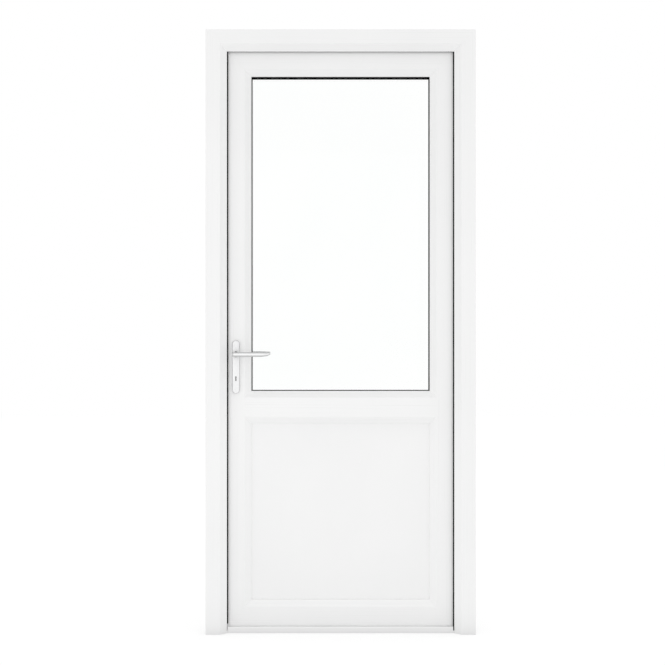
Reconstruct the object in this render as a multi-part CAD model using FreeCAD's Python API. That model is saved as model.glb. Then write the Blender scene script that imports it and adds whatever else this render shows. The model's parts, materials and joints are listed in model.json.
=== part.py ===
"""Half glazed back door in its frame, built as separate solids, one STEP file for each.

Sizes are in millimetres. X runs to the right seen from outside, Y from outside to inside and Z is up.
The origin is at floor level, halfway across the doorway and halfway through the frame's depth.
The leaf opens inwards. Its lock is on the left seen from outside and its hinges are on the right.
"""

import math
import os

import FreeCAD
import Part

# outer frame: head and two jambs
FRAME_WIDTH = 920.0
FRAME_HEIGHT = 2060.0
FRAME_DEPTH = 70.0
FRAME_FACE = 71.0  # from the outer edge to the edge of the lip
FRAME_BODY = 48.0  # from the outer edge to the rebate that the leaf closes into
FRAME_BEVEL_DEPTH = 19.0
FRAME_LIP_DEPTH = 24.0  # back of the lip, from the outside face
BEVEL_WIDTH = 22.0  # sloped band along the inner edge of every profile
PROFILE_EDGE = 3.0  # rounding of the profiles' outer corners
NOSE_EDGE = 1.5  # rounding where a bevel meets the edge of an opening, and of other inner corners
LIP_EDGE = 1.0
OVERCUT = 1.0  # how far a cutting bar runs past the piece that it cuts

# leaf
SEAL_GAP = 8.0  # between the frame and the closed leaf
SIDE_LAP = 12.0  # how far the frame's lip covers the leaf's edge
TOP_LAP = 14.0
FOOT_LAP = 7.0  # how far the threshold covers the leaf's foot
LEAF_DEPTH = 70.0
LEAF_FACE = 94.0  # from the leaf's edge to the edge of the opening in it
LEAF_BEVEL_DEPTH = 14.0
LEAF_LIP_DEPTH = 17.0
GLAZING_REBATE = 20.0  # how far the lip stands over the rebate that holds glass and panel
FLANGE_LAP = 20.0  # inside flange that closes over the frame
FLANGE_EDGE = 1.5
MID_RAIL_HEIGHT = 771.0  # middle of the mid rail above the floor
MID_RAIL_FACE = 112.0  # between the edges of the two openings

# glass, panel and the beads that hold them
PANE_THICKNESS = 4.0
SPACER_THICKNESS = 20.0
GLAZING_SEAL = 3.0
GASKET_SHOW = 1.5  # how far the glass seals stand past the edge of the opening
EDGE_ROOM = 5.0  # around glass and panel in their rebates
BEAD_NOSE = 5.0  # upright edge of the bead next to the glass
BEAD_LAND = 7.0  # flat inside face of the bead
BEAD_EDGE = 2.0

# threshold
THRESHOLD_HEIGHT = 21.0
THRESHOLD_BASE = 8.0
THRESHOLD_WALL = 7.0
THRESHOLD_EDGE = 2.0
THRESHOLD_SLOPE = 2.0  # fall of the base towards the inside
THRESHOLD_END_GAP = 2.5  # between the lock jamb and the threshold's upright wall

# seals on the frame and leaf
SEAL_SHOW = 4.0  # black strip that shows beside each jamb
SEAL_WIDTH = 8.0
SEAL_THICKNESS = 3.0
SEAL_TRIM = 10.0  # lower end of the lock side's seal above the threshold

# lock and handles
BACKSET = 42.5  # from the leaf's edge to the lever's axis
LEVER_HEIGHT = 953.5
CYLINDER_DROP = 83.5  # from the lever's axis to the key's axis
PLATE_WIDTH = 26.0
PLATE_LENGTH = 183.0
PLATE_THICKNESS = 8.0
PLATE_TOP_RISE = 48.0  # top of the plate above the lever's axis
PLATE_EDGE = 3.0
COLLAR_RADIUS = 12.0
COLLAR_LENGTH = 5.0
COLLAR_EDGE = 1.6
NECK_RADIUS = 7.0
NECK_INSET = 2.0  # end of the neck in front of the leaf's face
PIN_PLAY = 0.08  # running clearance of everything that turns
OUTSIDE_REACH = 120.5  # from the levers' axis to the tip of each
INSIDE_REACH = 110.0
LEVER_BAR = 16.0  # height of the bar
LEVER_TIP_RISE = 1.0  # underside of the tip above the axis
LEVER_TAPER = 28.5  # length of the underside that sweeps up to the tip
LEVER_SWEEP = 96.0  # radius of that sweep
TIP_UNDER_RADIUS = 3.0
TIP_OVER_RADIUS = 3.4
LEVER_THICKNESS = 11.0
LEVER_EDGE = 2.5
LEVER_STANDOFF = 50.0  # from the leaf's face to the middle of the bar
SPINDLE_SIDE = 8.0
SPINDLE_GRIP = 26.0  # length of spindle inside each lever
SPINDLE_ROOM = 2.5
CYLINDER_RADIUS = 10.0
CYLINDER_PLAY = 0.25
KEYHOLE_HALF_HEIGHT = 8.0
KEYHOLE_HEAD_RADIUS = 2.7
KEYHOLE_WAIST = 2.8
KEYHOLE_FOOT = 4.6
KEY_SLOT_WIDTH = 2.2
KEY_SLOT_HEIGHT = 13.0
KEY_SLOT_DEPTH = 12.0
KEY_EDGE = 0.6
FACEPLATE_WIDTH = 20.0
FACEPLATE_LENGTH = 1640.0
FACEPLATE_THICKNESS = 3.0
HOOK_SPACING = 500.0  # from the latch to the hook above it and the hook below it
LATCH_LENGTH = 28.0
HOOK_LENGTH = 60.0
BOLT_WIDTH = 12.0
BOLT_DEPTH = 20.0
KEEP_MARGIN = 45.0  # length of keep past each end of its slot
KEEP_THICKNESS = 3.0
KEEP_POCKET = 18.0
KEEP_ROOM = 6.0  # length of a keep's slot more than its bolt

# hinges
HINGE_END = 220.0  # middle of the outer hinges from the ends of the leaf
HINGE_LENGTH = 100.0
HINGE_OFFSET = 12.0  # from the edge of the flange to the pin's axis
HINGE_RISE = 4.0  # from the leaf's inside face to the pin's axis
HINGE_PLATE = 4.0
KNUCKLE_RADIUS = 8.0
KNUCKLE_EDGE = 2.0
KNUCKLE_CAP = 5.5  # solid top of the upper knuckle
KNUCKLE_GAP = 0.5
WEB_THICKNESS = 10.0
BRACKET_WIDTH = 28.0
FLAG_WIDTH = 48.0
FLAG_INSET = 2.0  # from the edge of the flange
ARM_ROOT = 12.0
PLATE_CORNER = 4.0
HINGE_PIN_RADIUS = 5.0
PIN_HEAD = 4.0
PIN_ROOM = 0.5  # over the end of the pin

# fixings of the frame to the wall
FIXING_RADIUS = 4.0
FIXING_COUNT = 4
FIXING_END = 181.0  # from each end of a jamb to its outer fixings

# planes and outlines that follow from the sizes above
FRAME_HALF = FRAME_WIDTH / 2
FRAME_FRONT = -FRAME_DEPTH / 2
FRAME_BACK = FRAME_DEPTH / 2
LIP_BACK = FRAME_FRONT + FRAME_LIP_DEPTH
REBATE_HALF = FRAME_HALF - FRAME_BODY
LIP_HALF = FRAME_HALF - FRAME_FACE
LIP_TOP = FRAME_HEIGHT - FRAME_FACE
LEAF_FRONT = LIP_BACK + SEAL_GAP
LEAF_BACK = LEAF_FRONT + LEAF_DEPTH
FLANGE_DEPTH = FRAME_BACK + SEAL_GAP - LEAF_FRONT
LEAF_HALF = LIP_HALF + SIDE_LAP
LEAF_TOP = LIP_TOP + TOP_LAP
LEAF_BOTTOM = THRESHOLD_HEIGHT - FOOT_LAP
PLATFORM = LEAF_FACE - GLAZING_REBATE
BEAD_DEPTH = LEAF_LIP_DEPTH + 2 * GLAZING_SEAL + 2 * PANE_THICKNESS + SPACER_THICKNESS
LEVER_X = -LEAF_HALF + BACKSET
KEY_HEIGHT = LEVER_HEIGHT - CYLINDER_DROP
LOCK_Y = LEAF_FRONT + FLANGE_DEPTH / 2
HINGE_X = LEAF_HALF + FLANGE_LAP + HINGE_OFFSET
HINGE_Y = LEAF_BACK + HINGE_RISE
HINGE_HEIGHTS = {
    "bottom": LEAF_BOTTOM + HINGE_END,
    "middle": (LEAF_BOTTOM + LEAF_TOP) / 2,
    "top": LEAF_TOP - HINGE_END,
}
RISE = FreeCAD.Vector(0, 0, 1)


def box(left, right, front, back, bottom, top):
    """Block between two planes in each direction."""
    corner = FreeCAD.Vector(left, front, bottom)
    return Part.makeBox(right - left, back - front, top - bottom, corner)


def outline(corners):
    """Closed wire through corner points, each with its own rounding radius."""
    rounded = []
    count = len(corners)
    for index, (point, radius) in enumerate(corners):
        if radius == 0:
            rounded.append((point, None, point))
            continue
        to_last = (corners[index - 1][0] - point).normalize()
        to_next = (corners[(index + 1) % count][0] - point).normalize()
        half_angle = to_last.getAngle(to_next) / 2
        reach = radius / math.tan(half_angle)
        middle = (to_last + to_next).normalize() * (radius / math.sin(half_angle) - radius)
        rounded.append((point + to_last * reach, point + middle, point + to_next * reach))
    edges = []
    for index, (start, middle, end) in enumerate(rounded):
        if middle is not None:
            edges.append(Part.Arc(start, middle, end).toShape())
        following = rounded[(index + 1) % count][0]
        if end.distanceToPoint(following) > 1e-6:
            edges.append(Part.makeLine(end, following))
    return Part.Wire(edges)


def prism(corners, sweep):
    """Solid swept from an outline of rounded corners."""
    return Part.Face(outline(corners)).extrude(sweep)


def upright_plate(corners, front, back):
    """Plate with an outline in X and Z, each corner given as x, z and radius."""
    points = [(FreeCAD.Vector(x, front, z), radius) for x, z, radius in corners]
    return prism(points, FreeCAD.Vector(0, back - front, 0))


def rod(radius, start, end):
    """Round bar from one point to another."""
    along = end - start
    return Part.makeCylinder(radius, along.Length, start, along)


def mirrored(shape):
    """The same piece on the other side of the door."""
    return shape.mirror(FreeCAD.Vector(0, 0, 0), FreeCAD.Vector(1, 0, 0))


def upright_bar(section, edge, front, plan):
    """Profile standing on the lock side. The section runs inwards from the edge and back from the front."""
    heights = [z for x, z in plan]
    foot = min(heights)
    corners = [(FreeCAD.Vector(edge + u, front + v, foot), radius) for u, v, radius in section]
    bar = prism(corners, RISE * (max(heights) - foot))
    return bar.common(blank(section, front, plan))


def level_bar(section, edge, inward, front, plan):
    """Profile lying across the door. Inward is -1 under a top edge and +1 over a bottom edge."""
    sides = [x for x, z in plan]
    start = min(sides)
    corners = [
        (FreeCAD.Vector(start, front + v, edge + inward * u), radius) for u, v, radius in section
    ]
    bar = prism(corners, FreeCAD.Vector(max(sides) - start, 0, 0))
    return bar.common(blank(section, front, plan))


def blank(section, front, plan):
    """Block with the mitred plan of a bar, as deep as its section."""
    depths = [v for u, v, radius in section]
    corners = [(x, z, 0) for x, z in plan]
    return upright_plate(corners, front + min(depths), front + max(depths))


def ring(half, bottom, top, width, front, back):
    """Flat rectangular ring of one width."""
    outer = box(-half, half, front, back, bottom, top)
    inner = box(-half + width, half - width, front, back, bottom + width, top - width)
    return outer.cut(inner)


def bead_set(bottom, top):
    """Four mitred beads around an opening between two platform heights."""
    half = LEAF_HALF - PLATFORM
    section = [
        (0, BEAD_DEPTH, 0),
        (GLAZING_REBATE, BEAD_DEPTH, 0),
        (GLAZING_REBATE, BEAD_DEPTH + BEAD_NOSE, BEAD_EDGE),
        (BEAD_LAND, LEAF_DEPTH, BEAD_EDGE),
        (0, LEAF_DEPTH, 0),
    ]
    reach = GLAZING_REBATE
    side = [(-half, bottom), (-half + reach, bottom + reach), (-half + reach, top - reach), (-half, top)]
    over = [(-half, top), (half, top), (half - reach, top - reach), (-half + reach, top - reach)]
    under = [(-half, bottom), (half, bottom), (half - reach, bottom + reach), (-half + reach, bottom + reach)]
    lock_bead = upright_bar(section, -half, LEAF_FRONT, side)
    return {
        "lock_side": lock_bead,
        "hinge_side": mirrored(lock_bead),
        "top": level_bar(section, top, -1, LEAF_FRONT, over),
        "bottom": level_bar(section, bottom, 1, LEAF_FRONT, under),
    }


def frame_pieces():
    """Head, jambs and threshold, before the lock side is cut for its keeps."""
    section = [
        (0, 0, PROFILE_EDGE),
        (FRAME_FACE - BEVEL_WIDTH, 0, 0),
        (FRAME_FACE, FRAME_BEVEL_DEPTH, NOSE_EDGE),
        (FRAME_FACE, FRAME_LIP_DEPTH, LIP_EDGE),
        (FRAME_BODY, FRAME_LIP_DEPTH, 0),
        (FRAME_BODY, FRAME_DEPTH, NOSE_EDGE),
        (0, FRAME_DEPTH, PROFILE_EDGE),
    ]
    jamb_plan = [(-FRAME_HALF, 0), (-LIP_HALF, 0), (-LIP_HALF, LIP_TOP), (-FRAME_HALF, FRAME_HEIGHT)]
    head_plan = [
        (-FRAME_HALF, FRAME_HEIGHT),
        (FRAME_HALF, FRAME_HEIGHT),
        (LIP_HALF, LIP_TOP),
        (-LIP_HALF, LIP_TOP),
    ]
    jamb = upright_bar(section, -FRAME_HALF, FRAME_FRONT, jamb_plan)
    spacing = (FRAME_HEIGHT - 2 * FIXING_END) / (FIXING_COUNT - 1)
    for index in range(FIXING_COUNT):
        height = FIXING_END + index * spacing
        start = FreeCAD.Vector(-FRAME_HALF - OVERCUT, LOCK_Y, height)
        end = FreeCAD.Vector(-REBATE_HALF + OVERCUT, LOCK_Y, height)
        jamb = jamb.cut(rod(FIXING_RADIUS, start, end))
    head = level_bar(section, FRAME_HEIGHT, -1, FRAME_FRONT, head_plan)
    back = LIP_BACK + SEAL_THICKNESS
    front = back - THRESHOLD_WALL
    corners = [
        (front, 0, 0),
        (front, THRESHOLD_HEIGHT, THRESHOLD_EDGE),
        (back, THRESHOLD_HEIGHT, THRESHOLD_EDGE),
        (back, THRESHOLD_BASE, 0),
        (FRAME_BACK, THRESHOLD_BASE - THRESHOLD_SLOPE, NOSE_EDGE),
        (FRAME_BACK, 0, 0),
    ]
    points = [(FreeCAD.Vector(-REBATE_HALF, y, z), radius) for y, z, radius in corners]
    threshold = prism(points, FreeCAD.Vector(2 * REBATE_HALF, 0, 0))
    wall_end = -LIP_HALF + THRESHOLD_END_GAP
    lock_end = box(-REBATE_HALF, wall_end, front, back, THRESHOLD_BASE, THRESHOLD_HEIGHT)
    hinge_end = box(LIP_HALF - SEAL_SHOW, REBATE_HALF, front, back, THRESHOLD_BASE, THRESHOLD_HEIGHT)
    threshold = threshold.cut(jamb).cut(mirrored(jamb)).cut(lock_end).cut(hinge_end)
    return jamb, mirrored(jamb), head, threshold


def frame_seal():
    """Black seal between the frame's lip and the leaf, down to the threshold's base at the hinges."""
    back = LIP_BACK + SEAL_THICKNESS
    half = LIP_HALF + SEAL_WIDTH
    top = LIP_TOP + SEAL_WIDTH
    outer = box(-half, half, LIP_BACK, back, THRESHOLD_BASE, top)
    shown = LIP_HALF - SEAL_SHOW
    inner = box(-shown, shown, LIP_BACK, back, THRESHOLD_BASE, LIP_TOP)
    trimmed = box(-half, -shown, LIP_BACK, back, THRESHOLD_BASE, THRESHOLD_HEIGHT + SEAL_TRIM)
    return outer.cut(inner).cut(trimmed)


def leaf_profiles():
    """Stiles and rails of the leaf, before the lock side is cut for its lock."""
    glazing_side = [
        (LEAF_FACE - BEVEL_WIDTH, 0, 0),
        (LEAF_FACE, LEAF_BEVEL_DEPTH, LIP_EDGE),
        (LEAF_FACE, LEAF_LIP_DEPTH, 0),
        (PLATFORM, LEAF_LIP_DEPTH, 0),
        (PLATFORM, LEAF_DEPTH, 0),
    ]
    flange = [
        (-FLANGE_LAP, LEAF_DEPTH, PROFILE_EDGE),
        (-FLANGE_LAP, FLANGE_DEPTH, FLANGE_EDGE),
        (0, FLANGE_DEPTH, 0),
    ]
    section = [(0, 0, PROFILE_EDGE)] + glazing_side + flange
    foot_section = [(0, 0, PROFILE_EDGE)] + glazing_side + [(0, LEAF_DEPTH, PROFILE_EDGE)]
    sight = LEAF_HALF - LEAF_FACE
    sight_top = LEAF_TOP - LEAF_FACE
    sight_bottom = LEAF_BOTTOM + LEAF_FACE
    flange_half = LEAF_HALF + FLANGE_LAP
    stile_plan = [
        (-flange_half, LEAF_BOTTOM),
        (-LEAF_HALF, LEAF_BOTTOM),
        (-sight, sight_bottom),
        (-sight, sight_top),
        (-flange_half, LEAF_TOP + FLANGE_LAP),
    ]
    top_plan = [
        (-flange_half, LEAF_TOP + FLANGE_LAP),
        (flange_half, LEAF_TOP + FLANGE_LAP),
        (sight, sight_top),
        (-sight, sight_top),
    ]
    bottom_plan = [
        (-LEAF_HALF, LEAF_BOTTOM),
        (LEAF_HALF, LEAF_BOTTOM),
        (sight, sight_bottom),
        (-sight, sight_bottom),
    ]
    stile = upright_bar(section, -LEAF_HALF, LEAF_FRONT, stile_plan)
    top_rail = level_bar(section, LEAF_TOP, -1, LEAF_FRONT, top_plan)
    bottom_rail = level_bar(foot_section, LEAF_BOTTOM, 1, LEAF_FRONT, bottom_plan)
    half_face = MID_RAIL_FACE / 2
    half_web = half_face - GLAZING_REBATE
    upper = [
        (half_face - BEVEL_WIDTH, 0, 0),
        (half_face, LEAF_BEVEL_DEPTH, LIP_EDGE),
        (half_face, LEAF_LIP_DEPTH, 0),
        (half_web, LEAF_LIP_DEPTH, 0),
        (half_web, LEAF_DEPTH, 0),
    ]
    lower = [(-u, v, radius) for u, v, radius in reversed(upper)]
    end = LEAF_HALF - LEAF_FACE + BEVEL_WIDTH
    corners = [
        (FreeCAD.Vector(-end, LEAF_FRONT + v, MID_RAIL_HEIGHT + u), radius) for u, v, radius in upper + lower
    ]
    mid_rail = prism(corners, FreeCAD.Vector(2 * end, 0, 0))
    mid_rail = mid_rail.cut(stile).cut(mirrored(stile))
    return stile, mirrored(stile), top_rail, mid_rail, bottom_rail


def leaf_seal():
    """Black seal under the inside flange, along the top and down both sides."""
    back = LEAF_FRONT + FLANGE_DEPTH
    front = back - SEAL_THICKNESS
    half = LEAF_HALF + FLANGE_LAP - FLANGE_EDGE
    top = LEAF_TOP + FLANGE_LAP - FLANGE_EDGE
    outer = box(-half, half, front, back, LEAF_BOTTOM, top)
    inner = box(-half + SEAL_WIDTH, half - SEAL_WIDTH, front, back, LEAF_BOTTOM, top - SEAL_WIDTH)
    return outer.cut(inner)


def glazing(bottom, top):
    """Panes, spacer and both seals of the sealed glass unit between two platform heights."""
    half = LEAF_HALF - PLATFORM - EDGE_ROOM
    low = bottom + EDGE_ROOM
    high = top - EDGE_ROOM
    band = GLAZING_REBATE - EDGE_ROOM
    outer_face = LEAF_FRONT + LEAF_LIP_DEPTH + GLAZING_SEAL
    spacer_face = outer_face + PANE_THICKNESS
    inner_pane_face = spacer_face + SPACER_THICKNESS
    inner_face = inner_pane_face + PANE_THICKNESS
    seals = [
        ring(half, low, high, band + GASKET_SHOW, outer_face - GLAZING_SEAL, outer_face),
        ring(half, low, high, band + GASKET_SHOW, inner_face, inner_face + GLAZING_SEAL),
    ]
    return {
        "outer_pane": box(-half, half, outer_face, spacer_face, low, high),
        "spacer_bar": ring(half, low, high, band, spacer_face, inner_pane_face),
        "inner_pane": box(-half, half, inner_pane_face, inner_face, low, high),
        "glass_seals": Part.makeCompound(seals),
    }


def lower_panel(bottom, top):
    """Flat panel and its two seals between two platform heights."""
    half = LEAF_HALF - PLATFORM - EDGE_ROOM
    low = bottom + EDGE_ROOM
    high = top - EDGE_ROOM
    band = GLAZING_REBATE - EDGE_ROOM
    front = LEAF_FRONT + LEAF_LIP_DEPTH + GLAZING_SEAL
    back = LEAF_FRONT + BEAD_DEPTH - GLAZING_SEAL
    seals = [
        ring(half, low, high, band, front - GLAZING_SEAL, front),
        ring(half, low, high, band, back, back + GLAZING_SEAL),
    ]
    return {
        "lower_panel": box(-half, half, front, back, low, high),
        "panel_seals": Part.makeCompound(seals),
    }


def cylinder_bar(play, front, back):
    """Round bar of the key cylinder from front to back."""
    start = FreeCAD.Vector(LEVER_X, front, KEY_HEIGHT)
    end = FreeCAD.Vector(LEVER_X, back, KEY_HEIGHT)
    return rod(CYLINDER_RADIUS + play, start, end)


def lock_cylinder():
    """Key cylinder through the leaf behind both handle plates, with a key slot at each end."""
    body = cylinder_bar(0, LEAF_FRONT, LEAF_BACK)
    half_width = KEY_SLOT_WIDTH / 2
    half_height = KEY_SLOT_HEIGHT / 2
    slot = [
        (LEVER_X - half_width, KEY_HEIGHT - half_height, KEY_EDGE),
        (LEVER_X + half_width, KEY_HEIGHT - half_height, KEY_EDGE),
        (LEVER_X + half_width, KEY_HEIGHT + half_height, KEY_EDGE),
        (LEVER_X - half_width, KEY_HEIGHT + half_height, KEY_EDGE),
    ]
    body = body.cut(upright_plate(slot, LEAF_FRONT - OVERCUT, LEAF_FRONT + KEY_SLOT_DEPTH))
    return body.cut(upright_plate(slot, LEAF_BACK - KEY_SLOT_DEPTH, LEAF_BACK + OVERCUT))


def keyhole(front, back):
    """Cutting bar of the keyhole: a round head over a leg that widens downwards."""
    head_height = KEY_HEIGHT + KEYHOLE_HALF_HEIGHT - KEYHOLE_HEAD_RADIUS
    foot_height = KEY_HEIGHT - KEYHOLE_HALF_HEIGHT
    start = FreeCAD.Vector(LEVER_X, front, head_height)
    end = FreeCAD.Vector(LEVER_X, back, head_height)
    leg = [
        (LEVER_X - KEYHOLE_WAIST / 2, head_height, 0),
        (LEVER_X + KEYHOLE_WAIST / 2, head_height, 0),
        (LEVER_X + KEYHOLE_FOOT / 2, foot_height, KEY_EDGE),
        (LEVER_X - KEYHOLE_FOOT / 2, foot_height, KEY_EDGE),
    ]
    return rod(KEYHOLE_HEAD_RADIUS, start, end).fuse(upright_plate(leg, front, back)).removeSplitter()


def handle_plate(face, outward):
    """Long plate with a collar for the lever and a keyhole. Outward is -1 outside and +1 inside."""
    half = PLATE_WIDTH / 2
    top = LEVER_HEIGHT + PLATE_TOP_RISE
    bottom = top - PLATE_LENGTH
    corners = [
        (LEVER_X - half, bottom, half),
        (LEVER_X + half, bottom, half),
        (LEVER_X + half, top, half),
        (LEVER_X - half, top, half),
    ]
    shown = face + outward * PLATE_THICKNESS
    plate = upright_plate(corners, min(face, shown), max(face, shown))
    rim = [edge for edge in plate.Edges if abs(edge.CenterOfMass.y - shown) < 1e-3]
    plate = plate.makeFillet(PLATE_EDGE, rim)
    axis_start = FreeCAD.Vector(LEVER_X, face, LEVER_HEIGHT)
    collar_end = FreeCAD.Vector(LEVER_X, shown + outward * COLLAR_LENGTH, LEVER_HEIGHT)
    collar = rod(COLLAR_RADIUS, axis_start, collar_end)
    collar_rim = [edge for edge in collar.Edges if abs(edge.CenterOfMass.y - collar_end.y) < 1e-3]
    collar = collar.makeFillet(COLLAR_EDGE, collar_rim)
    plate = plate.fuse(collar)
    overcut = FreeCAD.Vector(0, outward * OVERCUT, 0)
    plate = plate.cut(rod(NECK_RADIUS + PIN_PLAY, axis_start - overcut, collar_end + overcut))
    low = min(face, shown) - OVERCUT
    high = max(face, shown) + OVERCUT
    return plate.cut(keyhole(low, high)).removeSplitter()


def lever(face, outward, reach):
    """Lever with a rounded bar and a round neck that turns in the plate's collar."""
    half = LEVER_BAR / 2
    tip = LEVER_X + reach
    corners = [
        (LEVER_X - half, LEVER_HEIGHT - half, half),
        (tip - LEVER_TAPER, LEVER_HEIGHT - half, LEVER_SWEEP),
        (tip, LEVER_HEIGHT + LEVER_TIP_RISE, TIP_UNDER_RADIUS),
        (tip, LEVER_HEIGHT + half, TIP_OVER_RADIUS),
        (LEVER_X - half, LEVER_HEIGHT + half, half),
    ]
    middle = face + outward * LEVER_STANDOFF
    front = middle - LEVER_THICKNESS / 2
    back = middle + LEVER_THICKNESS / 2
    bar = upright_plate(corners, front, back)
    rims = [edge for edge in bar.Edges if abs(edge.CenterOfMass.y - middle) > LEVER_THICKNESS / 2 - 1e-3]
    bar = bar.makeFillet(LEVER_EDGE, rims)
    neck_start = FreeCAD.Vector(LEVER_X, face + outward * NECK_INSET, LEVER_HEIGHT)
    neck_end = FreeCAD.Vector(LEVER_X, middle, LEVER_HEIGHT)
    whole = bar.fuse(rod(NECK_RADIUS, neck_start, neck_end)).removeSplitter()
    return whole.cut(spindle())


def spindle():
    """Square bar through the leaf that joins both levers."""
    half = SPINDLE_SIDE / 2
    start = LEAF_FRONT - SPINDLE_GRIP
    end = LEAF_BACK + SPINDLE_GRIP
    return box(LEVER_X - half, LEVER_X + half, start, end, LEVER_HEIGHT - half, LEVER_HEIGHT + half)


def edge_strip(outer, inner, length, middle_height, width):
    """Strip with round ends on an edge of the door, lying between two X planes."""
    half = width / 2
    bottom = middle_height - length / 2
    top = middle_height + length / 2
    corners = [
        (FreeCAD.Vector(outer, LOCK_Y - half, bottom), half),
        (FreeCAD.Vector(outer, LOCK_Y + half, bottom), half),
        (FreeCAD.Vector(outer, LOCK_Y + half, top), half),
        (FreeCAD.Vector(outer, LOCK_Y - half, top), half),
    ]
    return prism(corners, FreeCAD.Vector(inner - outer, 0, 0))


def bolt_places():
    """Height and length of the latch and the two hooks."""
    return {
        "latch": (LEVER_HEIGHT, LATCH_LENGTH),
        "upper_hook": (LEVER_HEIGHT + HOOK_SPACING, HOOK_LENGTH),
        "lower_hook": (LEVER_HEIGHT - HOOK_SPACING, HOOK_LENGTH),
    }


def bolt_block(outer, inner, height, length):
    """Square-ended block as wide as a bolt, between two X planes."""
    half = BOLT_WIDTH / 2
    return box(outer, inner, LOCK_Y - half, LOCK_Y + half, height - length / 2, height + length / 2)


def lock_pieces(stile, jamb):
    """Faceplate, drawn-back bolts and keeps, and the stile and jamb cut to take them."""
    edge = -LEAF_HALF
    faceplate = edge_strip(edge, edge + FACEPLATE_THICKNESS, FACEPLATE_LENGTH, LEVER_HEIGHT, FACEPLATE_WIDTH)
    stile = stile.cut(faceplate)
    keep_face = -REBATE_HALF + KEEP_THICKNESS
    bolts = []
    keeps = {}
    for name, (height, length) in bolt_places().items():
        bolt = bolt_block(edge, edge + BOLT_DEPTH, height, length)
        faceplate = faceplate.cut(bolt)
        stile = stile.cut(bolt)
        bolts.append(bolt)
        slot = bolt_block(-REBATE_HALF - KEEP_POCKET, keep_face, height, length + KEEP_ROOM)
        keep_length = length + 2 * KEEP_MARGIN
        keep = edge_strip(-REBATE_HALF, keep_face, keep_length, height, FACEPLATE_WIDTH)
        keeps[name + "_keep"] = keep.cut(slot)
        jamb = jamb.cut(slot)
    room = rod(
        SPINDLE_SIDE / math.sqrt(2) + SPINDLE_ROOM,
        FreeCAD.Vector(LEVER_X, LEAF_FRONT - OVERCUT, LEVER_HEIGHT),
        FreeCAD.Vector(LEVER_X, LEAF_BACK + OVERCUT, LEVER_HEIGHT),
    )
    key_hole = cylinder_bar(CYLINDER_PLAY, LEAF_FRONT - OVERCUT, LEAF_BACK + OVERCUT)
    stile = stile.cut(room).cut(key_hole)
    return stile, jamb, faceplate, Part.makeCompound(bolts), keeps


def hinge(height):
    """Bracket on the frame, flag on the leaf and the pin that joins them, around one height."""
    half = HINGE_LENGTH / 2
    bottom = height - half
    top = height + half
    centre = FreeCAD.Vector(HINGE_X, HINGE_Y, height)
    lower_end = FreeCAD.Vector(HINGE_X, HINGE_Y, bottom)
    upper_end = FreeCAD.Vector(HINGE_X, HINGE_Y, top)
    gap_top = centre + RISE * (KNUCKLE_GAP / 2)
    gap_bottom = centre - RISE * (KNUCKLE_GAP / 2)
    bore = HINGE_PIN_RADIUS + PIN_PLAY

    near = HINGE_X - WEB_THICKNESS / 2
    base = [
        (near, bottom, PLATE_CORNER),
        (near + BRACKET_WIDTH, bottom, PLATE_CORNER),
        (near + BRACKET_WIDTH, top, PLATE_CORNER),
        (near, top, PLATE_CORNER),
    ]
    bracket = upright_plate(base, FRAME_BACK, FRAME_BACK + HINGE_PLATE)
    web = box(near, near + WEB_THICKNESS, FRAME_BACK, HINGE_Y, bottom + PLATE_CORNER, gap_bottom.z)
    knuckle = rod(KNUCKLE_RADIUS, lower_end, gap_bottom)
    bracket = bracket.fuse(web).fuse(knuckle)
    bracket = bracket.cut(rod(bore, lower_end - RISE * OVERCUT, gap_bottom + RISE * OVERCUT)).removeSplitter()

    flag_edge = LEAF_HALF + FLANGE_LAP - FLAG_INSET
    plate = [
        (flag_edge - FLAG_WIDTH, bottom, PLATE_CORNER),
        (flag_edge, bottom, PLATE_CORNER),
        (flag_edge, top, PLATE_CORNER),
        (flag_edge - FLAG_WIDTH, top, PLATE_CORNER),
    ]
    flag = upright_plate(plate, LEAF_BACK, LEAF_BACK + HINGE_PLATE)
    arm = box(
        flag_edge - ARM_ROOT,
        HINGE_X,
        LEAF_BACK,
        LEAF_BACK + HINGE_PLATE,
        gap_top.z,
        top - PLATE_CORNER,
    )
    barrel = rod(KNUCKLE_RADIUS, gap_top, upper_end)
    barrel_rim = [edge for edge in barrel.Edges if abs(edge.CenterOfMass.z - top) < 1e-3]
    barrel = barrel.makeFillet(KNUCKLE_EDGE, barrel_rim)
    flag = flag.fuse(arm).fuse(barrel)
    pin_top = upper_end - RISE * KNUCKLE_CAP
    flag = flag.cut(rod(bore, gap_top - RISE * OVERCUT, pin_top + RISE * PIN_ROOM)).removeSplitter()

    head = rod(KNUCKLE_RADIUS, lower_end - RISE * PIN_HEAD, lower_end)
    head_rim = [edge for edge in head.Edges if abs(edge.CenterOfMass.z - lower_end.z + PIN_HEAD) < 1e-3]
    head = head.makeFillet(KNUCKLE_EDGE, head_rim)
    pin = rod(HINGE_PIN_RADIUS, lower_end, pin_top).fuse(head).removeSplitter()
    return bracket, flag, pin


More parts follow.
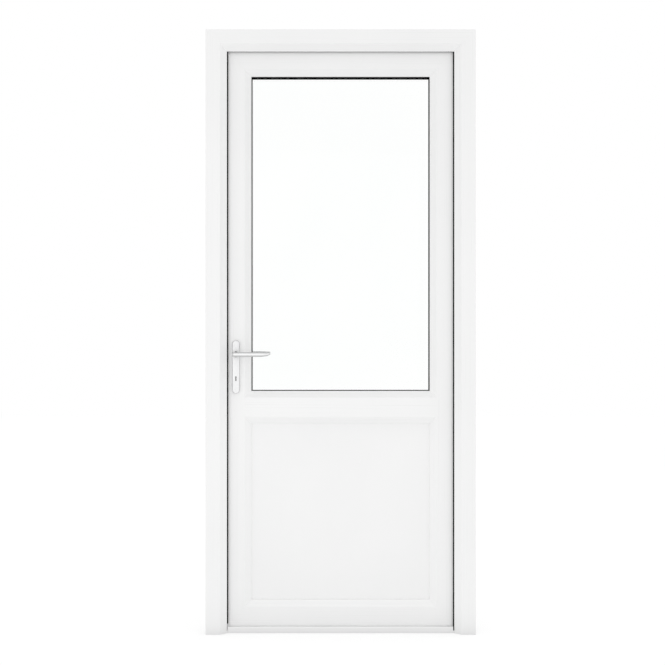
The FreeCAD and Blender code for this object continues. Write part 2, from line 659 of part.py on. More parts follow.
def build():
    """Every piece of the door by name."""
    lock_jamb, hinge_jamb, head, threshold = frame_pieces()
    lock_stile, hinge_stile, top_rail, mid_rail, bottom_rail = leaf_profiles()
    lock_stile, lock_jamb, faceplate, bolts, keeps = lock_pieces(lock_stile, lock_jamb)
    pieces = {
        "frame_head": head,
        "frame_lock_jamb": lock_jamb,
        "frame_hinge_jamb": hinge_jamb,
        "threshold": threshold,
        "frame_seal": frame_seal(),
        "lock_stile": lock_stile,
        "hinge_stile": hinge_stile,
        "top_rail": top_rail,
        "mid_rail": mid_rail,
        "bottom_rail": bottom_rail,
        "leaf_seal": leaf_seal(),
        "lock_faceplate": faceplate,
        "lock_bolts": bolts,
        "lock_cylinder": lock_cylinder(),
        "handle_plate_outside": handle_plate(LEAF_FRONT, -1),
        "handle_plate_inside": handle_plate(LEAF_BACK, 1),
        "lever_outside": lever(LEAF_FRONT, -1, OUTSIDE_REACH),
        "lever_inside": lever(LEAF_BACK, 1, INSIDE_REACH),
        "lever_spindle": spindle(),
    }
    pieces.update(keeps)
    half_web = MID_RAIL_FACE / 2 - GLAZING_REBATE
    glass_bottom = MID_RAIL_HEIGHT + half_web
    glass_top = LEAF_TOP - PLATFORM
    panel_bottom = LEAF_BOTTOM + PLATFORM
    panel_top = MID_RAIL_HEIGHT - half_web
    pieces.update(glazing(glass_bottom, glass_top))
    pieces.update(lower_panel(panel_bottom, panel_top))
    for side, bead in bead_set(glass_bottom, glass_top).items():
        pieces["glass_bead_" + side] = bead
    for side, bead in bead_set(panel_bottom, panel_top).items():
        pieces["panel_bead_" + side] = bead
    for place, height in HINGE_HEIGHTS.items():
        bracket, flag, pin = hinge(height)
        pieces["hinge_bracket_" + place] = bracket
        pieces["hinge_flag_" + place] = flag
        pieces["hinge_pin_" + place] = pin
    return pieces


os.makedirs("parts", exist_ok=True)
for name, shape in build().items():
    shape.exportStep(os.path.join("parts", name + ".step"))
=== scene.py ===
"""Looks of the half glazed door: materials, levers, screws, studio light and camera, in metres."""

import json
import math

import bmesh
import bpy
from mathutils import Matrix, Vector


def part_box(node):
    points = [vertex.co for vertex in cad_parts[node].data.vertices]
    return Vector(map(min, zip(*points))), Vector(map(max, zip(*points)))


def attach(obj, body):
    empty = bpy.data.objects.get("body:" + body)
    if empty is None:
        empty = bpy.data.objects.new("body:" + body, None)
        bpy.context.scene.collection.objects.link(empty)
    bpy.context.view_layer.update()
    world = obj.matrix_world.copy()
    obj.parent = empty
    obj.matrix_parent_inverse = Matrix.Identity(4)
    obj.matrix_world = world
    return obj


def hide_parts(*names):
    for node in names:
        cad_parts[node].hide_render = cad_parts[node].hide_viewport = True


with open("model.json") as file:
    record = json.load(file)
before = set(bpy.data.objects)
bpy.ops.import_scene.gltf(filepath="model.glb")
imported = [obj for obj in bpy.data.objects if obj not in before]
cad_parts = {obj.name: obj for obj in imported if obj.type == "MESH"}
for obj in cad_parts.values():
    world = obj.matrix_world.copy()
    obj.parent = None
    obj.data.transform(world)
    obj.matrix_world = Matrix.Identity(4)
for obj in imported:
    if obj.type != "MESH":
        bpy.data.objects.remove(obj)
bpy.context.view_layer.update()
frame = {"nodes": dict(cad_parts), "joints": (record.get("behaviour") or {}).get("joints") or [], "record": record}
scene = bpy.context.scene

# camera, level and square on to the door
CAMERA_PLACE = (-0.0277, -3.485, 1.028)
CAMERA_TURN = (math.radians(90.0), 0.0, 0.0)
CAMERA_LENS = 54.93
CAMERA_SENSOR = 36.0

# light
AMBIENT_SIDE = 1.26  # light from left, right, above and below
AMBIENT_FRONT = 0.65
AMBIENT_BACK = 0.4
LAMP_SIDE = 2.4
LAMP_TARGET = (0.0, 0.0, 1.0)
FRONT_LAMP_PLACE = (-0.6, -3.6, 1.1)
FRONT_LAMP_WATTS = 13.0
BACK_LAMP_PLACE = (1.2, 4.0, 2.2)
BACK_LAMP_WATTS = 18.0
WHITE = (1.0, 1.0, 1.0, 1.0)

# floor
FLOOR_HALF = 9.0
FLOOR_HEIGHT = -0.0004  # just under the door's foot
FLOOR_GREY = (0.5, 0.5, 0.5, 1.0)  # the part of its tone that takes the door's shadow
FLOOR_GLOW = 0.53  # the rest of its tone, up to white
FLOOR_LIGHT = 0.96  # light that it gives back to the door
FOOT_LIGHT = 0.4  # the same next to the door
FOOT_REACH = 0.12

# noise that drives tone, roughness and bump
NOISE_LOW = 0.3
NOISE_HIGH = 0.7
NOISE_ROUGHNESS = 0.55
CLOUD_DETAIL = 4.0  # steps of finer noise
LINE_DETAIL = 2.0
GRAIN_DETAIL = 2.0
BRUSH_DETAIL = 4.0
WAVE_DETAIL = 1.0
FILM_DETAIL = 5.0
FINE_GRAIN = (1700.0, 1700.0, 1700.0)
POWDER_GRAIN = (2600.0, 2600.0, 2600.0)
UPRIGHT_LINES = (520.0, 520.0, 1.7)
LEVEL_LINES = (1.7, 520.0, 520.0)
SATIN_LINES = (700.0, 700.0, 9.0)
STEEL_LINES = (900.0, 900.0, 14.0)
CYLINDER_LINES = (700.0, 60.0, 700.0)
PANEL_PEEL = (60.0, 60.0, 60.0)
PAINT_PEEL = (420.0, 420.0, 420.0)
CHROME_PEEL = (260.0, 260.0, 260.0)
PLASTIC_CLOUDS = (2.6, 2.6, 2.1)
RUBBER_CLOUDS = (40.0, 40.0, 9.0)
METAL_CLOUDS = (35.0, 35.0, 22.0)
GLASS_WAVE = (1.2, 1.2, 7.0)
GLASS_FILM = (5.0, 5.0, 3.0)
SMOOTH_PEEL = 0.00006  # depth of the bumps in metres
ROUGH_PEEL = 0.0001
RUBBER_PEEL = 0.00012
BRUSH_DEPTH = 0.00004
WAVE_DEPTH = 0.0004
LINE_STRENGTH = 0.18
GRAIN_STRENGTH = 0.22
POWDER_STRENGTH = 0.35
BRUSH_STRENGTH = 0.3
WAVE_STRENGTH = 0.06

# reflection
CHROME_EDGE = 0.6  # how much a metal reflects at a flat angle
SATIN_EDGE = 0.75
GLASS_INDEX = 1.5
GLASS_EDGE = (0.15, 0.15, 0.15, 1.0)

# edges and beds of the solids
WELD_REACH = 0.00001
FLAT_ANGLE = math.radians(0.5)  # neighbouring triangles that count as one flat face
PROFILE_FLAT_ANGLE = math.radians(3.0)  # the same on the profiles, which have small facets at their mitres
EDGE_WIDTH = 0.0002
EDGE_SEGMENTS = 2
EDGE_ANGLE = math.radians(35.0)
GLASS_BED = 0.00005  # room between a pane and its seals
LEVEL_NODES = ("frame_head", "top_rail", "mid_rail", "bottom_rail")
LEVEL_ENDINGS = ("bead_top", "bead_bottom")
PLATE_NODES = ("handle_plate_outside", "handle_plate_inside")

# levers
LEVER_JOINT = next(joint for joint in frame["joints"] if joint["name"] == "lever_turn")
LEVER_AXIS_X = LEVER_JOINT["pos_m"][0]
LEVER_AXIS_Z = LEVER_JOINT["pos_m"][2]
LEAF_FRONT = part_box("lock_stile")[0][1]
LEAF_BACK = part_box("lock_stile")[1][1]
OUTWARD = -1  # way along y from the leaf to the lever outside
INWARD = 1
OUTSIDE_REACH = 0.1205
INSIDE_REACH = 0.110
LEVER_HALF = 0.008
LEVER_HALF_THICKNESS = 0.0055
LEVER_STANDOFF = 0.050
LEVER_SWEEP = 0.040  # length of the underside that curves up to the tip
TIP_RISE = 0.0018  # underside of the tip above the axis
LEVER_SHOULDER = 0.032  # length of the top that falls towards the tip
SHOULDER_FALL = 0.0012
TIP_NOSE = 0.003
END_TAPER = 0.3  # share of the bar's thickness lost at its ends
BAR_SQUARENESS = 2.6
NECK_INSET = 0.004  # start of the neck inside the plate
NECK_RADIUS = 0.0069
NECK_FLARE = 0.0016
FLARE_START = 0.55  # share of the neck that is straight
RING_POINTS = 56
BACK_STEPS = 12
BAR_STEPS = 40
NOSE_STEPS = 10
NECK_STEPS = 14
BACK_START = 4.0  # degrees round the back end at which its first ring lies
NOSE_END = 88.0  # degrees round the nose at which the last ring lies
LEVER_CREASE = 60.0  # degrees between faces from which an edge stays sharp

# bushes: radius and height above the collar's face, round their section; their black is painted shade for the gap
# round the levers' necks
NECK_SHADE_BUSH_SECTION = (
    (0.0072, -0.0010), (0.0096, -0.0010), (0.0096, 0.0012), (0.0094, 0.0016),
    (0.0090, 0.0018), (0.0076, 0.0018), (0.0072, 0.0014),
)
NECK_SHADE_BUSH_CREASE = 40.0

# screws
SCREW_RADIUS = 0.0042
PLATE_SCREW_RADIUS = 0.0036
SCREW_POINTS = 28
SCREW_SECTION = ((1.0, 0.0), (0.98, 0.0003), (0.9, 0.00054), (0.72, 0.00074))  # share of radius, height
SCREW_RISE = 0.00078  # top of a screw head above the face that it sits in
RECESS_DEPTH = 0.00064
RECESS_ARM = 0.52  # shares of the head's radius
RECESS_HALF = 0.15
RECESS_TAPER = 0.8
SCREW_TURN = 12.0  # degrees of the first cross, and the step to the next
SCREW_TURN_STEP = 37.0
SCREW_CREASE = 35.0
HINGE_PLACES = ("top", "middle", "bottom")
HINGE_SCREW_RISE = 0.036  # above and below a hinge's middle
FLAG_THICKNESS = 0.004
FLAG_COLUMNS = (0.010, 0.026)  # from the flag's edge
BRACKET_COLUMN = 0.009  # from the bracket's edge
BRACKET_FACE = 0.039
PLATE_THICKNESS = 0.008
PLATE_SCREW_INSET = 0.012
FACEPLATE_SCREWS = (0.158, 0.36, 0.56, 0.80, 1.10, 1.34, 1.56, 1.754)  # heights
KEEP_NODES = ("latch_keep", "upper_hook_keep", "lower_hook_keep")
KEEP_SCREW_INSET = 0.016
TO_INSIDE = (0, 1, 0)  # ways that screw heads face
TO_LOCK_SIDE = (-1, 0, 0)
TO_HINGE_SIDE = (1, 0, 0)


def sockets(node, **values):
    """Sets constant values on a node's inputs by their names, with spaces written as underscores."""
    for name, value in values.items():
        node.inputs[name.replace("_", " ")].default_value = value


def fresh_material(name):
    """Empty node material with its shader joined to the output."""
    material = bpy.data.materials.new(name)
    material.use_nodes = True
    nodes = material.node_tree.nodes
    nodes.clear()
    output = nodes.new("ShaderNodeOutputMaterial")
    shader = nodes.new("ShaderNodeBsdfPrincipled")
    material.node_tree.links.new(shader.outputs["BSDF"], output.inputs["Surface"])
    return material, nodes, material.node_tree.links, shader


def noise_field(nodes, links, stretch, detail):
    """Noise over the object's own coordinates, stretched by a different scale along each axis."""
    place = nodes.new("ShaderNodeTexCoord")
    mapping = nodes.new("ShaderNodeMapping")
    mapping.inputs["Scale"].default_value = stretch
    noise = nodes.new("ShaderNodeTexNoise")
    sockets(noise, Scale=1.0, Detail=detail, Roughness=NOISE_ROUGHNESS)
    links.new(place.outputs["Object"], mapping.inputs["Vector"])
    links.new(mapping.outputs["Vector"], noise.inputs["Vector"])
    return noise.outputs["Fac"]


def ramped(nodes, links, value, before, after):
    """Value between two limits mapped to a straight ramp between two others."""
    span = nodes.new("ShaderNodeMapRange")
    sockets(span, From_Min=before[0], From_Max=before[1], To_Min=after[0], To_Max=after[1])
    links.new(value, span.inputs["Value"])
    return span.outputs["Result"]


def spread(nodes, links, field, limits):
    """Noise field mapped to a range of values."""
    return ramped(nodes, links, field, (NOISE_LOW, NOISE_HIGH), limits)


def tinted(nodes, links, field, tones):
    """Colour that drifts between two close tones."""
    ramp = nodes.new("ShaderNodeValToRGB")
    for element, position, tone in zip(ramp.color_ramp.elements, (NOISE_LOW, NOISE_HIGH), tones):
        element.position = position
        element.color = (*tone, 1.0)
    links.new(field, ramp.inputs["Fac"])
    return ramp.outputs["Color"]


def bumped(nodes, links, fields):
    """Chain of bumps, each field given with its depth in metres and its strength."""
    normal = None
    for field, depth, strength in fields:
        bump = nodes.new("ShaderNodeBump")
        sockets(bump, Distance=depth, Strength=strength)
        links.new(field, bump.inputs["Height"])
        if normal is not None:
            links.new(normal, bump.inputs["Normal"])
        normal = bump.outputs["Normal"]
    return normal


def coated(name, tones, rough, streaks, peel=SMOOTH_PEEL):
    """Smooth plastic or paint: faint clouds of tone, long drawing lines and a fine grain."""
    material, nodes, links, shader = fresh_material(name)
    clouds = noise_field(nodes, links, PLASTIC_CLOUDS, CLOUD_DETAIL)
    lines = noise_field(nodes, links, streaks, LINE_DETAIL)
    fine = noise_field(nodes, links, FINE_GRAIN, GRAIN_DETAIL)
    links.new(tinted(nodes, links, clouds, tones), shader.inputs["Base Color"])
    links.new(spread(nodes, links, lines, rough), shader.inputs["Roughness"])
    bumps = [(lines, peel, LINE_STRENGTH), (fine, peel, GRAIN_STRENGTH)]
    links.new(bumped(nodes, links, bumps), shader.inputs["Normal"])
    return material


def rubber(name, tones, rough, shine):
    """Soft extruded seal with a powdery grain."""
    material, nodes, links, shader = fresh_material(name)
    clouds = noise_field(nodes, links, RUBBER_CLOUDS, CLOUD_DETAIL)
    fine = noise_field(nodes, links, POWDER_GRAIN, GRAIN_DETAIL)
    links.new(tinted(nodes, links, clouds, tones), shader.inputs["Base Color"])
    links.new(spread(nodes, links, clouds, rough), shader.inputs["Roughness"])
    links.new(bumped(nodes, links, [(fine, RUBBER_PEEL, POWDER_STRENGTH)]), shader.inputs["Normal"])
    sockets(shader, Specular_IOR_Level=shine)
    return material


def metal(name, tones, rough, brush, edge=1.0):
    """Bare metal with brush lines along one axis. Edge is how much it reflects at a flat angle."""
    material, nodes, links, shader = fresh_material(name)
    lines = noise_field(nodes, links, brush, BRUSH_DETAIL)
    clouds = noise_field(nodes, links, METAL_CLOUDS, CLOUD_DETAIL)
    links.new(tinted(nodes, links, clouds, tones), shader.inputs["Base Color"])
    links.new(spread(nodes, links, lines, rough), shader.inputs["Roughness"])
    links.new(bumped(nodes, links, [(lines, BRUSH_DEPTH, BRUSH_STRENGTH)]), shader.inputs["Normal"])
    sockets(shader, Metallic=1.0, Specular_Tint=(edge, edge, edge, 1.0))
    return material


def window_glass(name, tones, rough):
    """Clear float glass with the slight roller wave of toughened panes."""
    material, nodes, links, shader = fresh_material(name)
    wave = noise_field(nodes, links, GLASS_WAVE, WAVE_DETAIL)
    film = noise_field(nodes, links, GLASS_FILM, FILM_DETAIL)
    links.new(tinted(nodes, links, film, tones), shader.inputs["Base Color"])
    links.new(spread(nodes, links, film, rough), shader.inputs["Roughness"])
    links.new(bumped(nodes, links, [(wave, WAVE_DEPTH, WAVE_STRENGTH)]), shader.inputs["Normal"])
    sockets(shader, Transmission_Weight=1.0, IOR=GLASS_INDEX, Specular_Tint=GLASS_EDGE)
    return material


def all_finishes():
    """Materials by name: one for each material slot, and two for nodes that differ within a slot."""
    white = ((0.905, 0.907, 0.906), (0.93, 0.931, 0.929))
    sill = ((0.92, 0.92, 0.92), (0.95, 0.95, 0.95))
    hinge = ((0.865, 0.866, 0.866), (0.89, 0.89, 0.89))
    chrome = ((0.56, 0.562, 0.564), (0.59, 0.592, 0.593))
    satin = ((0.69, 0.692, 0.695), (0.73, 0.732, 0.734))
    steel = ((0.56, 0.57, 0.57), (0.66, 0.66, 0.66))
    nickel = ((0.5, 0.5, 0.5), (0.58, 0.58, 0.57))
    black = ((0.008, 0.008, 0.008), (0.016, 0.016, 0.016))
    spacer = ((0.009, 0.009, 0.010), (0.019, 0.019, 0.019))
    pale = ((0.9, 0.9, 0.895), (0.93, 0.93, 0.925))
    clear = ((0.990, 0.996, 0.993), (0.996, 0.999, 0.997))
    # maker, tones, limits of roughness, then what that maker needs besides
    recipes = {
        "profile_white": (coated, white, (0.26, 0.36), UPRIGHT_LINES),
        "profile_white_level": (coated, white, (0.26, 0.36), LEVEL_LINES),
        "panel_white": (coated, white, (0.3, 0.38), PANEL_PEEL),
        "threshold_white": (coated, sill, (0.34, 0.46), LEVEL_LINES, ROUGH_PEEL),
        "hinge_white": (coated, hinge, (0.24, 0.34), PAINT_PEEL, ROUGH_PEEL),
        "handle_chrome": (metal, chrome, (0.2, 0.28), CHROME_PEEL, CHROME_EDGE),
        "handle_chrome_satin": (metal, satin, (0.44, 0.52), SATIN_LINES, SATIN_EDGE),
        "lock_steel": (metal, steel, (0.24, 0.38), STEEL_LINES),
        "cylinder_nickel": (metal, nickel, (0.4, 0.55), CYLINDER_LINES),
        "seal_black": (rubber, black, (0.6, 0.75), 0.0),
        "seal_white": (rubber, pale, (0.5, 0.62), 0.3),
        "spacer_black": (rubber, spacer, (0.6, 0.76), 0.0),
        "clear_glass": (window_glass, clear, (0.0, 0.012)),
    }
    return {name: make(name, *values) for name, (make, *values) in recipes.items()}


def dress(node, solid, slot):
    """Gives one solid its finish and softens its edges. Glass is set a hair clear of its seals."""
    finish = finishes[slot]
    if slot == "profile_white" and (node in LEVEL_NODES or node.endswith(LEVEL_ENDINGS)):
        finish = finishes["profile_white_level"]
    if node in PLATE_NODES:
        finish = finishes["handle_chrome_satin"]
    solid.data.materials.clear()
    solid.data.materials.append(finish)
    weld = solid.modifiers.new("weld", "WELD")
    weld.merge_threshold = WELD_REACH
    if slot == "clear_glass":
        bed = solid.modifiers.new("bed", "DISPLACE")
        bed.mid_level = 0.0
        bed.strength = -GLASS_BED
        return
    flat = solid.modifiers.new("flat_faces", "DECIMATE")
    flat.decimate_type = "DISSOLVE"
    flat.angle_limit = PROFILE_FLAT_ANGLE if slot == "profile_white" else FLAT_ANGLE
    bevel = solid.modifiers.new("soft_edges", "BEVEL")
    bevel.width = EDGE_WIDTH
    bevel.segments = EDGE_SEGMENTS
    bevel.limit_method = "ANGLE"
    bevel.angle_limit = EDGE_ANGLE
    bevel.harden_normals = True
    weighted = solid.modifiers.new("even_normals", "WEIGHTED_NORMAL")
    weighted.keep_sharp = True


def finished_piece(name, build_mesh, slot, body, crease):
    """Turns a bmesh into a smooth shaded piece with a finish that rides on a body."""
    bmesh.ops.recalc_face_normals(build_mesh, faces=build_mesh.faces)
    for face in build_mesh.faces:
        face.smooth = True
    mesh = bpy.data.meshes.new(name)
    build_mesh.to_mesh(mesh)
    build_mesh.free()
    mesh.set_sharp_from_angle(angle=math.radians(crease))
    mesh.materials.append(finishes[slot])
    piece = bpy.data.objects.new(name, mesh)
    scene.collection.objects.link(piece)
    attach(piece, body)
    return piece


def band(build_mesh, first, second):
    """Faces between two rings of corners."""
    count = len(first)
    for index in range(count):
        following = (index + 1) % count
        build_mesh.faces.new((first[index], first[following], second[following], second[index]))


def skin(build_mesh, rings):
    """Closed tube over rings of points."""
    loops = [[build_mesh.verts.new(point) for point in ring] for ring in rings]
    for first, second in zip(loops, loops[1:]):
        band(build_mesh, first, second)
    build_mesh.faces.new(loops[0])
    build_mesh.faces.new(reversed(loops[-1]))


def rounded_ring(x, y, z, half_thickness, half_height):
    """Ring of points on a superellipse across the lever's bar."""
    points = []
    power = 2.0 / BAR_SQUARENESS
    for index in range(RING_POINTS):
        angle = 2.0 * math.pi * index / RING_POINTS
        across = math.copysign(abs(math.cos(angle)) ** power, math.cos(angle))
        up = math.copysign(abs(math.sin(angle)) ** power, math.sin(angle))
        points.append(Vector((x, y + half_thickness * across, z + half_height * up)))
    return points


def axis_ring(radius, y):
    """Ring of points round the levers' axis."""
    points = []
    for index in range(RING_POINTS):
        angle = 2.0 * math.pi * index / RING_POINTS
        x = LEVER_AXIS_X + radius * math.cos(angle)
        z = LEVER_AXIS_Z + radius * math.sin(angle)
        points.append(Vector((x, y, z)))
    return points


def quarter(fraction):
    """Height of a quarter circle of radius 1 at a fraction of its base."""
    return math.sqrt(max(0.0, 1.0 - fraction * fraction))


def lever_section(along, reach):
    """Underside, top and half thickness of the bar at a distance from the lever's axis."""
    sweep = max(0.0, 1.0 - (reach - along) / LEVER_SWEEP)
    fall = max(0.0, 1.0 - (reach - along) / LEVER_SHOULDER)
    nose = max(0.0, 1.0 - (reach - along) / TIP_NOSE)
    turn = 1.0 - quarter(nose)
    under = TIP_RISE - (TIP_RISE + LEVER_HALF) * quarter(sweep)
    over = LEVER_HALF - SHOULDER_FALL * math.sin(math.pi / 2 * fall) - TIP_NOSE * turn
    half_thickness = LEVER_HALF_THICKNESS * (1.0 - END_TAPER * turn)
    if along < 0.0:
        over = LEVER_HALF * quarter(along / LEVER_HALF)
        under = -over
        half_thickness = LEVER_HALF_THICKNESS * (1.0 - END_TAPER * (1.0 - over / LEVER_HALF))
    return under, over, half_thickness


def lever_stations(reach):
    """Distances from the axis at which the bar gets a ring, closer together at both ends."""
    nose_start = reach - TIP_NOSE
    stations = []
    for step in range(BACK_STEPS + 1):
        angle = BACK_START + (90.0 - BACK_START) * step / BACK_STEPS
        stations.append(-LEVER_HALF * math.cos(math.radians(angle)))
    for step in range(1, BAR_STEPS + 1):
        stations.append(nose_start * step / BAR_STEPS)
    for step in range(1, NOSE_STEPS + 1):
        stations.append(nose_start + TIP_NOSE * math.sin(math.radians(NOSE_END * step / NOSE_STEPS)))
    return stations


def lever_piece(name, node, outward, leaf_face, reach):
    """Lever with a full rounded bar, a swept tip and a flared neck."""
    build_mesh = bmesh.new()
    y = leaf_face + outward * LEVER_STANDOFF
    bar = []
    for along in lever_stations(reach):
        under, over, half_thickness = lever_section(along, reach)
        middle = LEVER_AXIS_Z + (over + under) / 2
        bar.append(rounded_ring(LEVER_AXIS_X + along, y, middle, half_thickness, (over - under) / 2))
    skin(build_mesh, bar)
    neck = []
    start = leaf_face + outward * NECK_INSET
    for step in range(NECK_STEPS + 1):
        share = step / NECK_STEPS
        flare = max(0.0, (share - FLARE_START) / (1.0 - FLARE_START))
        neck.append(axis_ring(NECK_RADIUS + NECK_FLARE * flare ** 2, start + (y - start) * share))
    skin(build_mesh, neck)
    piece = finished_piece(name, build_mesh, "handle_chrome", "levers", LEVER_CREASE)
    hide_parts(node)


def neck_shade_bush(name, outward, collar_face):
    """Dark bearing ring that the lever's neck turns in, standing a little proud of the plate's collar. Its black
    is painted shade, standing in for the shade in the gap round the neck.
    """
    build_mesh = bmesh.new()
    loops = []
    for radius, rise in NECK_SHADE_BUSH_SECTION:
        ring = axis_ring(radius, collar_face + outward * rise)
        loops.append([build_mesh.verts.new(point) for point in ring])
    for first, second in zip(loops, loops[1:] + loops[:1]):
        band(build_mesh, first, second)
    finished_piece(name, build_mesh, "spacer_black", "leaf", NECK_SHADE_BUSH_CREASE)


def screw_head(build_mesh, place, outward, radius, turn):
    """Low head with a cross recess, on a face that looks along outward."""
    outward = Vector(outward)
    side = outward.orthogonal().normalized()
    up = outward.cross(side)
    arm = RECESS_ARM * radius
    half = RECESS_HALF * radius
    cross = [
        (arm, -half), (arm, half), (half, half), (half, arm), (-half, arm), (-half, half),
        (-arm, half), (-arm, -half), (-half, -half), (-half, -arm), (half, -arm), (half, -half),
    ]

    def corner(u, v, rise):
        turned_u = u * math.cos(turn) - v * math.sin(turn)
        turned_v = u * math.sin(turn) + v * math.cos(turn)
        return build_mesh.verts.new(Vector(place) + side * turned_u + up * turned_v + outward * rise)

    rings = []
    for share, rise in SCREW_SECTION:
        ring = []
        for index in range(SCREW_POINTS):
            angle = 2.0 * math.pi * index / SCREW_POINTS
            ring.append(corner(radius * share * math.cos(angle), radius * share * math.sin(angle), rise))
        rings.append(ring)
    for first, second in zip(rings, rings[1:]):
        band(build_mesh, first, second)
    lip = [corner(u, v, SCREW_RISE) for u, v in cross]
    pit = [corner(u * RECESS_TAPER, v * RECESS_TAPER, SCREW_RISE - RECESS_DEPTH) for u, v in cross]
    rim = rings[-1]
    edges = [build_mesh.edges.get(pair) for pair in zip(rim, rim[1:] + rim[:1])]
    edges += [build_mesh.edges.new(pair) for pair in zip(lip, lip[1:] + lip[:1])]
    bmesh.ops.triangle_fill(build_mesh, edges=edges, use_beauty=True)
    band(build_mesh, lip, pit)
    build_mesh.faces.new(pit)
    build_mesh.faces.new(rings[0])


def screw_set(name, places, outward, radius, body):
    """All the screws of one kind on one body as a single piece."""
    build_mesh = bmesh.new()
    for index, place in enumerate(places):
        turn = math.radians(SCREW_TURN + SCREW_TURN_STEP * index)
        screw_head(build_mesh, place, outward, radius, turn)
    finished_piece(name, build_mesh, "lock_steel", body, SCREW_CREASE)


def hinge_screws():
    """Screws of the flags on the leaf and of the brackets on the frame."""
    flag_places = []
    bracket_places = []
    for place in HINGE_PLACES:
        low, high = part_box("hinge_flag_" + place)
        middle = (low[2] + high[2]) / 2
        for across in FLAG_COLUMNS:
            for up in (-HINGE_SCREW_RISE, HINGE_SCREW_RISE):
                flag_places.append((low[0] + across, LEAF_BACK + FLAG_THICKNESS, middle + up))
        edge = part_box("hinge_bracket_" + place)[1][0]
        for up in (-HINGE_SCREW_RISE, 0.0, HINGE_SCREW_RISE):
            bracket_places.append((edge - BRACKET_COLUMN, BRACKET_FACE, middle + up))
    screw_set("hinge_flag_screws", flag_places, TO_INSIDE, SCREW_RADIUS, "leaf")
    screw_set("hinge_bracket_screws", bracket_places, TO_INSIDE, SCREW_RADIUS, "frame")


def lock_screws():
    """Screws of the inside handle plate, the lock's faceplate and the keeps."""
    low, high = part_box("handle_plate_inside")
    plate_places = []
    for z in (low[2] + PLATE_SCREW_INSET, high[2] - PLATE_SCREW_INSET):
        plate_places.append((LEVER_AXIS_X, LEAF_BACK + PLATE_THICKNESS, z))
    screw_set("handle_plate_screws", plate_places, TO_INSIDE, PLATE_SCREW_RADIUS, "leaf")
    low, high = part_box("lock_faceplate")
    lock_y = (low[1] + high[1]) / 2
    faceplate_places = [(low[0], lock_y, z) for z in FACEPLATE_SCREWS]
    screw_set("faceplate_screws", faceplate_places, TO_LOCK_SIDE, SCREW_RADIUS, "leaf")
    keep_places = []
    for keep in KEEP_NODES:
        low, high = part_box(keep)
        for z in (low[2] + KEEP_SCREW_INSET, high[2] - KEEP_SCREW_INSET):
            keep_places.append((high[0], lock_y, z))
    screw_set("keep_screws", keep_places, TO_HINGE_SIDE, SCREW_RADIUS, "frame")


def direct_view(nodes, links):
    """One for camera, glossy and transmission rays, zero for the light that falls on things."""
    path = nodes.new("ShaderNodeLightPath")
    total = path.outputs["Is Camera Ray"]
    for name in ("Is Glossy Ray", "Is Transmission Ray"):
        either = nodes.new("ShaderNodeMath")
        either.operation = "MAXIMUM"
        links.new(total, either.inputs[0])
        links.new(path.outputs[name], either.inputs[1])
        total = either.outputs["Value"]
    return total


def studio_floor():
    """Pale floor that looks white, keeps the door's shadow and gives back less light next to the door."""
    mesh = bpy.data.meshes.new("floor")
    corners = [
        (-FLOOR_HALF, -FLOOR_HALF, FLOOR_HEIGHT),
        (FLOOR_HALF, -FLOOR_HALF, FLOOR_HEIGHT),
        (FLOOR_HALF, FLOOR_HALF, FLOOR_HEIGHT),
        (-FLOOR_HALF, FLOOR_HALF, FLOOR_HEIGHT),
    ]
    mesh.from_pydata(corners, [], [(0, 1, 2, 3)])
    floor = bpy.data.objects.new("floor", mesh)
    scene.collection.objects.link(floor)
    material = bpy.data.materials.new("studio_floor")
    material.use_nodes = True
    nodes = material.node_tree.nodes
    links = material.node_tree.links
    nodes.clear()
    output = nodes.new("ShaderNodeOutputMaterial")
    place = nodes.new("ShaderNodeTexCoord")
    parts = nodes.new("ShaderNodeSeparateXYZ")
    links.new(place.outputs["Object"], parts.inputs["Vector"])
    away = nodes.new("ShaderNodeMath")
    away.operation = "ABSOLUTE"
    links.new(parts.outputs["Y"], away.inputs[0])
    given = nodes.new("ShaderNodeEmission")
    level = ramped(nodes, links, away.outputs["Value"], (0.0, FOOT_REACH), (FOOT_LIGHT, FLOOR_LIGHT))
    links.new(level, given.inputs["Strength"])
    shaded = nodes.new("ShaderNodeBsdfDiffuse")
    sockets(shaded, Color=FLOOR_GREY)
    glow = nodes.new("ShaderNodeEmission")
    sockets(glow, Strength=FLOOR_GLOW)
    seen = nodes.new("ShaderNodeAddShader")
    links.new(glow.outputs["Emission"], seen.inputs[0])
    links.new(shaded.outputs["BSDF"], seen.inputs[1])
    mix = nodes.new("ShaderNodeMixShader")
    links.new(direct_view(nodes, links), mix.inputs["Fac"])
    links.new(given.outputs["Emission"], mix.inputs[1])
    links.new(seen.outputs["Shader"], mix.inputs[2])
    links.new(mix.outputs["Shader"], output.inputs["Surface"])
    mesh.materials.append(material)


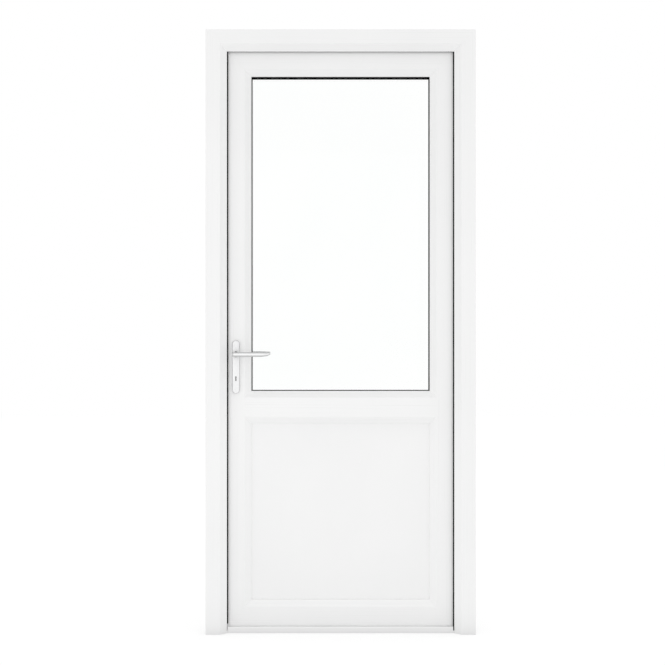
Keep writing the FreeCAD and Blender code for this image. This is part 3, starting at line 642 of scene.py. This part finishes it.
def studio_world():
    """White surroundings to look at, which light the object more from all round than from ahead."""
    world = bpy.data.worlds.new("studio")
    scene.world = world
    world.use_nodes = True
    nodes = world.node_tree.nodes
    links = world.node_tree.links
    nodes.clear()
    output = nodes.new("ShaderNodeOutputWorld")
    place = nodes.new("ShaderNodeTexCoord")
    parts = nodes.new("ShaderNodeSeparateXYZ")
    links.new(place.outputs["Generated"], parts.inputs["Vector"])
    front = ramped(nodes, links, parts.outputs["Y"], (-1.0, 0.0), (AMBIENT_FRONT, AMBIENT_SIDE))
    behind = ramped(nodes, links, parts.outputs["Y"], (0.0, 1.0), (0.0, AMBIENT_BACK - AMBIENT_SIDE))
    total = nodes.new("ShaderNodeMath")
    total.operation = "ADD"
    links.new(front, total.inputs[0])
    links.new(behind, total.inputs[1])
    soft = nodes.new("ShaderNodeBackground")
    sockets(soft, Color=WHITE)
    links.new(total.outputs["Value"], soft.inputs["Strength"])
    white = nodes.new("ShaderNodeBackground")
    sockets(white, Color=WHITE)
    mix = nodes.new("ShaderNodeMixShader")
    links.new(direct_view(nodes, links), mix.inputs["Fac"])
    links.new(soft.outputs["Background"], mix.inputs[1])
    links.new(white.outputs["Background"], mix.inputs[2])
    links.new(mix.outputs["Shader"], output.inputs["Surface"])


def lamp(name, place, watts):
    """Soft square lamp aimed at the middle of the door, which neither the camera nor the glass shows."""
    light = bpy.data.lights.new(name, "AREA")
    light.shape = "SQUARE"
    light.size = LAMP_SIDE
    light.energy = watts
    holder = bpy.data.objects.new(name, light)
    scene.collection.objects.link(holder)
    aim = (Vector(LAMP_TARGET) - Vector(place)).to_track_quat("-Z", "Y")
    holder.matrix_world = Matrix.Translation(place) @ aim.to_matrix().to_4x4()
    holder.visible_camera = False
    holder.visible_transmission = False


def studio_camera():
    """Camera at the photograph's viewing angle."""
    view = bpy.data.cameras.new("camera")
    view.lens = CAMERA_LENS
    view.sensor_width = CAMERA_SENSOR
    view.dof.use_dof = False
    camera = bpy.data.objects.new("camera", view)
    scene.collection.objects.link(camera)
    camera.location = CAMERA_PLACE
    camera.rotation_euler = CAMERA_TURN
    scene.camera = camera


finishes = all_finishes()
for subpart in frame["record"]["subparts"]:
    dress(subpart["node"], frame["nodes"][subpart["node"]], subpart["material_slot"])
lever_piece("outside_lever_handle", "lever_outside", OUTWARD, LEAF_FRONT, OUTSIDE_REACH)
lever_piece("inside_lever_handle", "lever_inside", INWARD, LEAF_BACK, INSIDE_REACH)
# bearing bushes whose black is painted shade round the levers' necks
neck_shade_bush("outside_lever_shade_bush", OUTWARD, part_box("handle_plate_outside")[0][1])
neck_shade_bush("inside_lever_shade_bush", INWARD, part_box("handle_plate_inside")[1][1])
hinge_screws()
lock_screws()

studio_floor()
studio_world()
lamp("front_lamp", FRONT_LAMP_PLACE, FRONT_LAMP_WATTS)
lamp("back_lamp", BACK_LAMP_PLACE, BACK_LAMP_WATTS)
studio_camera()
scene.view_settings.view_transform = "Standard"
